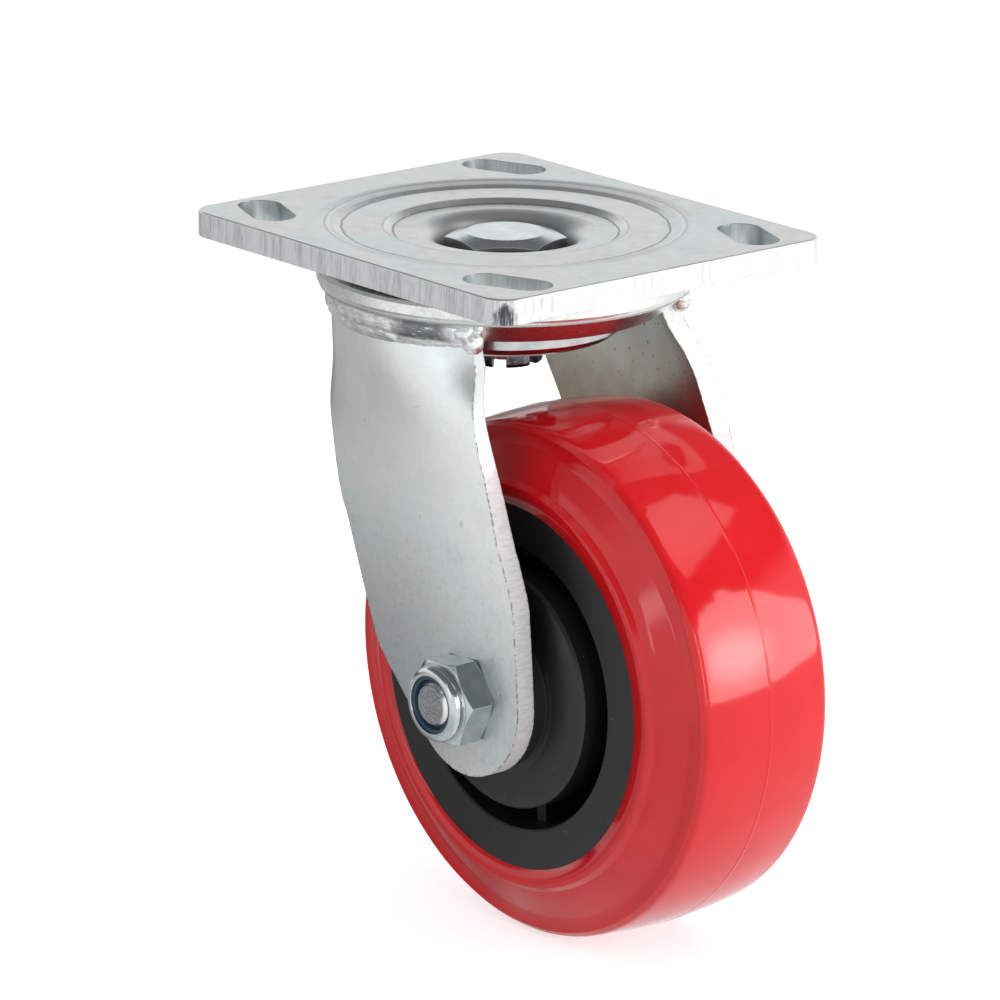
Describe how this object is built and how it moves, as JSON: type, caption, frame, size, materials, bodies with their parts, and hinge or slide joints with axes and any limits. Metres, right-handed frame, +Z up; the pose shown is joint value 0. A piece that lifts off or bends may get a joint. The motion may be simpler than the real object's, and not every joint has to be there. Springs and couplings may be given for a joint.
{
  "type": "swivel castor",
  "caption": "Swivel castor with a slotted rectangular top plate, a double ball race, a welded steel yoke and a wide red tread on a black core.",
  "frame": {"origin": "where the swivel axis meets the flat top face of the plate", "axes": "+Z up along the swivel axis, out of the plate's top face; +X towards the side where the wheel trails in the rest pose; +Y along the axle towards the bolt head"},
  "size_m": [0.1525, 0.1, 0.164],
  "materials": {
    "zinc_plate": "bright zinc plating over pressed steel, bluish, with fine scuffs",
    "zinc_bolt": "bright zinc plating, clear blue cast",
    "dark_steel": "dark plated steel",
    "zinc_cup": "bright zinc plating on pressed sheet",
    "ball_steel": "hardened steel balls, greased",
    "zinc_ring": "bright zinc plating, polished bands round the rim",
    "zinc_leg": "bright zinc plating on cut sheet",
    "weld_metal": "rough weld bead under zinc plating",
    "zinc_fastener": "bright zinc plated fastener",
    "blue_nylon": "blue nylon locking ring",
    "ground_steel": "ground steel tube",
    "zinc_washer": "zinc plated washer",
    "cage_nylon": "natural nylon",
    "roller_steel": "ground steel rollers",
    "black_core": "satin black moulded core",
    "red_polyurethane": "glossy cast polyurethane, deep red"
  },
  "bodies": {
    "mounting": {"top_plate": "zinc_plate", "kingpin": "zinc_bolt", "kingpin_nut": "dark_steel", "lower_race_cup": "zinc_cup"},
    "upper_race": {"upper_balls": "ball_steel"},
    "lower_race": {"lower_balls": "ball_steel"},
    "fork": {"yoke_ring": "zinc_ring", "leg_left": "zinc_leg", "leg_right": "zinc_leg", "weld_left": "weld_metal", "weld_right": "weld_metal", "axle_bolt": "zinc_fastener", "axle_nut": "zinc_fastener", "nut_insert": "blue_nylon", "axle_sleeve": "ground_steel", "thrust_washers": "zinc_washer"},
    "bearing": {"roller_cage": "cage_nylon", "rollers": "roller_steel"},
    "wheel": {"wheel_hub": "black_core", "tread": "red_polyurethane"}
  },
  "joints": [
    {"name": "swivel", "type": "hinge", "parent": "mounting", "child": "fork", "pos_m": [0, 0, -0.016], "axis": [0, 0, 1], "continuous": true},
    {"name": "upper_ball_orbit", "type": "hinge", "parent": "mounting", "child": "upper_race", "pos_m": [0, 0, -0.01], "axis": [0, 0, 1], "continuous": true},
    {"name": "lower_ball_orbit", "type": "hinge", "parent": "mounting", "child": "lower_race", "pos_m": [0, 0, -0.021], "axis": [0, 0, 1], "continuous": true},
    {"name": "wheel_spin", "type": "hinge", "parent": "fork", "child": "wheel", "pos_m": [0.032, 0, -0.101], "axis": [0, 1, 0], "continuous": true},
    {"name": "roller_orbit", "type": "hinge", "parent": "fork", "child": "bearing", "pos_m": [0.032, 0, -0.101], "axis": [0, 1, 0], "continuous": true}
  ],
  "couplings": [
    {"joint": "upper_ball_orbit", "follows": "swivel", "ratio": 0.5},
    {"joint": "lower_ball_orbit", "follows": "swivel", "ratio": 0.5},
    {"joint": "roller_orbit", "follows": "wheel_spin", "ratio": 0.6185}
  ]
}
